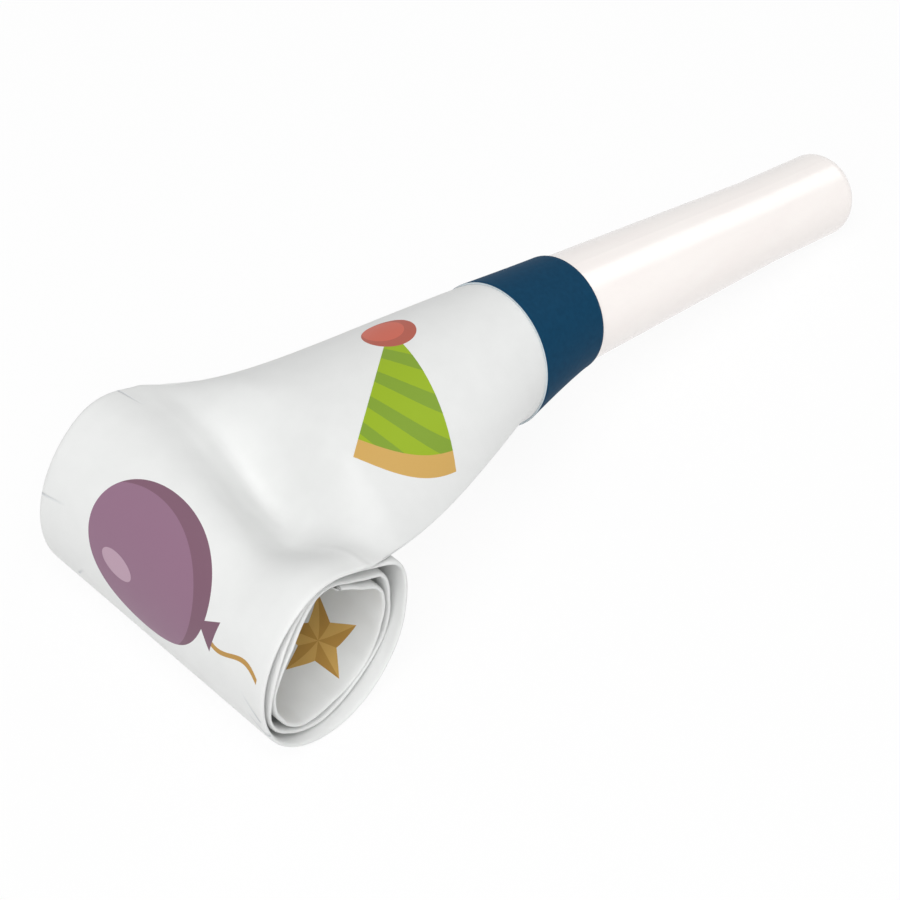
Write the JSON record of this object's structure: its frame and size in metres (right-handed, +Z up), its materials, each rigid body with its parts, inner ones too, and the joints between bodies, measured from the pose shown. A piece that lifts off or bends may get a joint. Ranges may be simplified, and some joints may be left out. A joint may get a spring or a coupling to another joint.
{
  "type": "party horn blower",
  "caption": "Party horn blower: tapered plastic mouthpiece with a reed, a blue paper band and a printed paper neck that flattens into a rolled-up spring tube.",
  "frame": {"origin": "on the surface that the blower lies on, under the middle of its box", "axes": "+X towards the lips, +Z up, Y along the roll's width"},
  "size_m": [0.1128, 0.0348, 0.0247],
  "materials": {
    "mouthpiece_plastic": "glossy moulded polypropylene",
    "reed_plastic": "moulded polystyrene",
    "reed_film": "thin plastic film",
    "printed_paper": "satin printed paper",
    "band_paper": "matt dark blue paper",
    "spring_steel": "drawn wire"
  },
  "bodies": {
    "mouthpiece": {"mouthpiece": "mouthpiece_plastic", "reed_body": "reed_plastic", "reed_collar": "reed_plastic", "reed_tongue_root": "reed_film", "paper_neck": "printed_paper", "band": "band_paper", "spring_wire": "spring_steel"},
    "reed_tongue": {"reed_tongue": "reed_film"},
    "roll_panel_01": {"roll_panel_01": "printed_paper"},
    "roll_panel_02": {"roll_panel_02": "printed_paper"},
    "roll_panel_03": {"roll_panel_03": "printed_paper"},
    "roll_panel_04": {"roll_panel_04": "printed_paper"},
    "roll_panel_05": {"roll_panel_05": "printed_paper"},
    "roll_panel_06": {"roll_panel_06": "printed_paper"},
    "roll_panel_07": {"roll_panel_07": "printed_paper"},
    "roll_panel_08": {"roll_panel_08": "printed_paper"},
    "roll_panel_09": {"roll_panel_09": "printed_paper"},
    "roll_panel_10": {"roll_panel_10": "printed_paper"},
    "roll_panel_11": {"roll_panel_11": "printed_paper"},
    "roll_panel_12": {"roll_panel_12": "printed_paper"},
    "roll_panel_13": {"roll_panel_13": "printed_paper"},
    "roll_panel_14": {"roll_panel_14": "printed_paper"},
    "roll_panel_15": {"roll_panel_15": "printed_paper"},
    "roll_panel_16": {"roll_panel_16": "printed_paper"},
    "roll_panel_17": {"roll_panel_17": "printed_paper"},
    "roll_panel_18": {"roll_panel_18": "printed_paper"},
    "roll_panel_19": {"roll_panel_19": "printed_paper"},
    "roll_panel_20": {"roll_panel_20": "printed_paper"},
    "roll_panel_21": {"roll_panel_21": "printed_paper"},
    "roll_panel_22": {"roll_panel_22": "printed_paper"},
    "roll_panel_23": {"roll_panel_23": "printed_paper"},
    "roll_panel_24": {"roll_panel_24": "printed_paper"},
    "roll_panel_25": {"roll_panel_25": "printed_paper"},
    "roll_panel_26": {"roll_panel_26": "printed_paper"},
    "roll_panel_27": {"roll_panel_27": "printed_paper"},
    "roll_panel_28": {"roll_panel_28": "printed_paper"},
    "roll_panel_29": {"roll_panel_29": "printed_paper"},
    "roll_panel_30": {"roll_panel_30": "printed_paper"},
    "roll_panel_31": {"roll_panel_31": "printed_paper"},
    "roll_panel_32": {"roll_panel_32": "printed_paper"},
    "roll_panel_33": {"roll_panel_33": "printed_paper"},
    "roll_panel_34": {"roll_panel_34": "printed_paper"},
    "roll_panel_35": {"roll_panel_35": "printed_paper"},
    "roll_panel_36": {"roll_panel_36": "printed_paper", "tip_fold": "printed_paper"}
  },
  "joints": [
    {"name": "reed_flex", "type": "hinge", "parent": "mouthpiece", "child": "reed_tongue", "pos_m": [0.00459, 0, 0.0151], "axis": [0, -1, 0], "range_deg": [0, 5], "stiffness_Nm_per_rad": 0.015},
    {"name": "unroll_01", "type": "hinge", "parent": "mouthpiece", "child": "roll_panel_01", "pos_m": [-0.04446, 0, 0.02196], "axis": [0, 1, 0], "range_deg": [0, 15], "stiffness_Nm_per_rad": 0.02, "springref_deg": -11.46, "deforming": ["spring_wire"]},
    {"name": "unroll_02", "type": "hinge", "parent": "roll_panel_01", "child": "roll_panel_02", "pos_m": [-0.04885, 0, 0.02167], "axis": [0, 1, 0], "range_deg": [0, 30]},
    {"name": "unroll_03", "type": "hinge", "parent": "roll_panel_02", "child": "roll_panel_03", "pos_m": [-0.05371, 0, 0.01842], "axis": [0, 1, 0], "range_deg": [0, 30]},
    {"name": "unroll_04", "type": "hinge", "parent": "roll_panel_03", "child": "roll_panel_04", "pos_m": [-0.05628, 0, 0.0132], "axis": [0, 1, 0], "range_deg": [0, 30]},
    {"name": "unroll_05", "type": "hinge", "parent": "roll_panel_04", "child": "roll_panel_05", "pos_m": [-0.0559, 0, 0.00743], "axis": [0, 1, 0], "range_deg": [0, 30]},
    {"name": "unroll_06", "type": "hinge", "parent": "roll_panel_05", "child": "roll_panel_06", "pos_m": [-0.05271, 0, 0.00266], "axis": [0, 1, 0], "range_deg": [0, 30]},
    {"name": "unroll_07", "type": "hinge", "parent": "roll_panel_06", "child": "roll_panel_07", "pos_m": [-0.04759, 0, 0.00014], "axis": [0, 1, 0], "range_deg": [0, 30]},
    {"name": "unroll_08", "type": "hinge", "parent": "roll_panel_07", "child": "roll_panel_08", "pos_m": [-0.04194, 0, 0.00051], "axis": [0, 1, 0], "range_deg": [0, 30]},
    {"name": "unroll_09", "type": "hinge", "parent": "roll_panel_08", "child": "roll_panel_09", "pos_m": [-0.03726, 0, 0.00364], "axis": [0, 1, 0], "range_deg": [0, 30]},
    {"name": "unroll_10", "type": "hinge", "parent": "roll_panel_09", "child": "roll_panel_10", "pos_m": [-0.03479, 0, 0.00866], "axis": [0, 1, 0], "range_deg": [0, 30]},
    {"name": "unroll_11", "type": "hinge", "parent": "roll_panel_10", "child": "roll_panel_11", "pos_m": [-0.03516, 0, 0.0142], "axis": [0, 1, 0], "range_deg": [0, 30]},
    {"name": "unroll_12", "type": "hinge", "parent": "roll_panel_11", "child": "roll_panel_12", "pos_m": [-0.03822, 0, 0.01878], "axis": [0, 1, 0], "range_deg": [0, 30]},
    {"name": "unroll_13", "type": "hinge", "parent": "roll_panel_12", "child": "roll_panel_13", "pos_m": [-0.04314, 0, 0.0212], "axis": [0, 1, 0], "range_deg": [0, 30]},
    {"name": "unroll_14", "type": "hinge", "parent": "roll_panel_13", "child": "roll_panel_14", "pos_m": [-0.04856, 0, 0.02084], "axis": [0, 1, 0], "range_deg": [0, 30]},
    {"name": "unroll_15", "type": "hinge", "parent": "roll_panel_14", "child": "roll_panel_15", "pos_m": [-0.05305, 0, 0.01784], "axis": [0, 1, 0], "range_deg": [0, 30]},
    {"name": "unroll_16", "type": "hinge", "parent": "roll_panel_15", "child": "roll_panel_16", "pos_m": [-0.05542, 0, 0.01303], "axis": [0, 1, 0], "range_deg": [0, 30]},
    {"name": "unroll_17", "type": "hinge", "parent": "roll_panel_16", "child": "roll_panel_17", "pos_m": [-0.05507, 0, 0.00771], "axis": [0, 1, 0], "range_deg": [0, 30]},
    {"name": "unroll_18", "type": "hinge", "parent": "roll_panel_17", "child": "roll_panel_18", "pos_m": [-0.05213, 0, 0.00332], "axis": [0, 1, 0], "range_deg": [0, 30]},
    {"name": "unroll_19", "type": "hinge", "parent": "roll_panel_18", "child": "roll_panel_19", "pos_m": [-0.04742, 0, 0.001], "axis": [0, 1, 0], "range_deg": [0, 30]},
    {"name": "unroll_20", "type": "hinge", "parent": "roll_panel_19", "child": "roll_panel_20", "pos_m": [-0.04222, 0, 0.00134], "axis": [0, 1, 0], "range_deg": [0, 30]},
    {"name": "unroll_21", "type": "hinge", "parent": "roll_panel_20", "child": "roll_panel_21", "pos_m": [-0.03792, 0, 0.00422], "axis": [0, 1, 0], "range_deg": [0, 30]},
    {"name": "unroll_22", "type": "hinge", "parent": "roll_panel_21", "child": "roll_panel_22", "pos_m": [-0.03565, 0, 0.00883], "axis": [0, 1, 0], "range_deg": [0, 30]},
    {"name": "unroll_23", "type": "hinge", "parent": "roll_panel_22", "child": "roll_panel_23", "pos_m": [-0.03599, 0, 0.01391], "axis": [0, 1, 0], "range_deg": [0, 30]},
    {"name": "unroll_24", "type": "hinge", "parent": "roll_panel_23", "child": "roll_panel_24", "pos_m": [-0.0388, 0, 0.01812], "axis": [0, 1, 0], "range_deg": [0, 30]},
    {"name": "unroll_25", "type": "hinge", "parent": "roll_panel_24", "child": "roll_panel_25", "pos_m": [-0.04331, 0, 0.02034], "axis": [0, 1, 0], "range_deg": [0, 30]},
    {"name": "unroll_26", "type": "hinge", "parent": "roll_panel_25", "child": "roll_panel_26", "pos_m": [-0.04828, 0, 0.02001], "axis": [0, 1, 0], "range_deg": [0, 30]},
    {"name": "unroll_27", "type": "hinge", "parent": "roll_panel_26", "child": "roll_panel_27", "pos_m": [-0.05239, 0, 0.01726], "axis": [0, 1, 0], "range_deg": [0, 30]},
    {"name": "unroll_28", "type": "hinge", "parent": "roll_panel_27", "child": "roll_panel_28", "pos_m": [-0.05456, 0, 0.01285], "axis": [0, 1, 0], "range_deg": [0, 30]},
    {"name": "unroll_29", "type": "hinge", "parent": "roll_panel_28", "child": "roll_panel_29", "pos_m": [-0.05424, 0, 0.008], "axis": [0, 1, 0], "range_deg": [0, 30]},
    {"name": "unroll_30", "type": "hinge", "parent": "roll_panel_29", "child": "roll_panel_30", "pos_m": [-0.05155, 0, 0.00398], "axis": [0, 1, 0], "range_deg": [0, 30]},
    {"name": "unroll_31", "type": "hinge", "parent": "roll_panel_30", "child": "roll_panel_31", "pos_m": [-0.04725, 0, 0.00186], "axis": [0, 1, 0], "range_deg": [0, 30]},
    {"name": "unroll_32", "type": "hinge", "parent": "roll_panel_31", "child": "roll_panel_32", "pos_m": [-0.0425, 0, 0.00218], "axis": [0, 1, 0], "range_deg": [0, 30]},
    {"name": "unroll_33", "type": "hinge", "parent": "roll_panel_32", "child": "roll_panel_33", "pos_m": [-0.03858, 0, 0.0048], "axis": [0, 1, 0], "range_deg": [0, 30]},
    {"name": "unroll_34", "type": "hinge", "parent": "roll_panel_33", "child": "roll_panel_34", "pos_m": [-0.03652, 0, 0.009], "axis": [0, 1, 0], "range_deg": [0, 30]},
    {"name": "unroll_35", "type": "hinge", "parent": "roll_panel_34", "child": "roll_panel_35", "pos_m": [-0.03682, 0, 0.01363], "axis": [0, 1, 0], "range_deg": [0, 30]},
    {"name": "unroll_36", "type": "hinge", "parent": "roll_panel_35", "child": "roll_panel_36", "pos_m": [-0.03938, 0, 0.01746], "axis": [0, 1, 0], "range_deg": [0, 30]}
  ],
  "couplings": [
    {"joint": "unroll_02", "follows": "unroll_01", "ratio": 2},
    {"joint": "unroll_03", "follows": "unroll_01", "ratio": 2},
    {"joint": "unroll_04", "follows": "unroll_01", "ratio": 2},
    {"joint": "unroll_05", "follows": "unroll_01", "ratio": 2},
    {"joint": "unroll_06", "follows": "unroll_01", "ratio": 2},
    {"joint": "unroll_07", "follows": "unroll_01", "ratio": 2},
    {"joint": "unroll_08", "follows": "unroll_01", "ratio": 2},
    {"joint": "unroll_09", "follows": "unroll_01", "ratio": 2},
    {"joint": "unroll_10", "follows": "unroll_01", "ratio": 2},
    {"joint": "unroll_11", "follows": "unroll_01", "ratio": 2},
    {"joint": "unroll_12", "follows": "unroll_01", "ratio": 2},
    {"joint": "unroll_13", "follows": "unroll_01", "ratio": 2},
    {"joint": "unroll_14", "follows": "unroll_01", "ratio": 2},
    {"joint": "unroll_15", "follows": "unroll_01", "ratio": 2},
    {"joint": "unroll_16", "follows": "unroll_01", "ratio": 2},
    {"joint": "unroll_17", "follows": "unroll_01", "ratio": 2},
    {"joint": "unroll_18", "follows": "unroll_01", "ratio": 2},
    {"joint": "unroll_19", "follows": "unroll_01", "ratio": 2},
    {"joint": "unroll_20", "follows": "unroll_01", "ratio": 2},
    {"joint": "unroll_21", "follows": "unroll_01", "ratio": 2},
    {"joint": "unroll_22", "follows": "unroll_01", "ratio": 2},
    {"joint": "unroll_23", "follows": "unroll_01", "ratio": 2},
    {"joint": "unroll_24", "follows": "unroll_01", "ratio": 2},
    {"joint": "unroll_25", "follows": "unroll_01", "ratio": 2},
    {"joint": "unroll_26", "follows": "unroll_01", "ratio": 2},
    {"joint": "unroll_27", "follows": "unroll_01", "ratio": 2},
    {"joint": "unroll_28", "follows": "unroll_01", "ratio": 2},
    {"joint": "unroll_29", "follows": "unroll_01", "ratio": 2},
    {"joint": "unroll_30", "follows": "unroll_01", "ratio": 2},
    {"joint": "unroll_31", "follows": "unroll_01", "ratio": 2},
    {"joint": "unroll_32", "follows": "unroll_01", "ratio": 2},
    {"joint": "unroll_33", "follows": "unroll_01", "ratio": 2},
    {"joint": "unroll_34", "follows": "unroll_01", "ratio": 2},
    {"joint": "unroll_35", "follows": "unroll_01", "ratio": 2},
    {"joint": "unroll_36", "follows": "unroll_01", "ratio": 2}
  ]
}
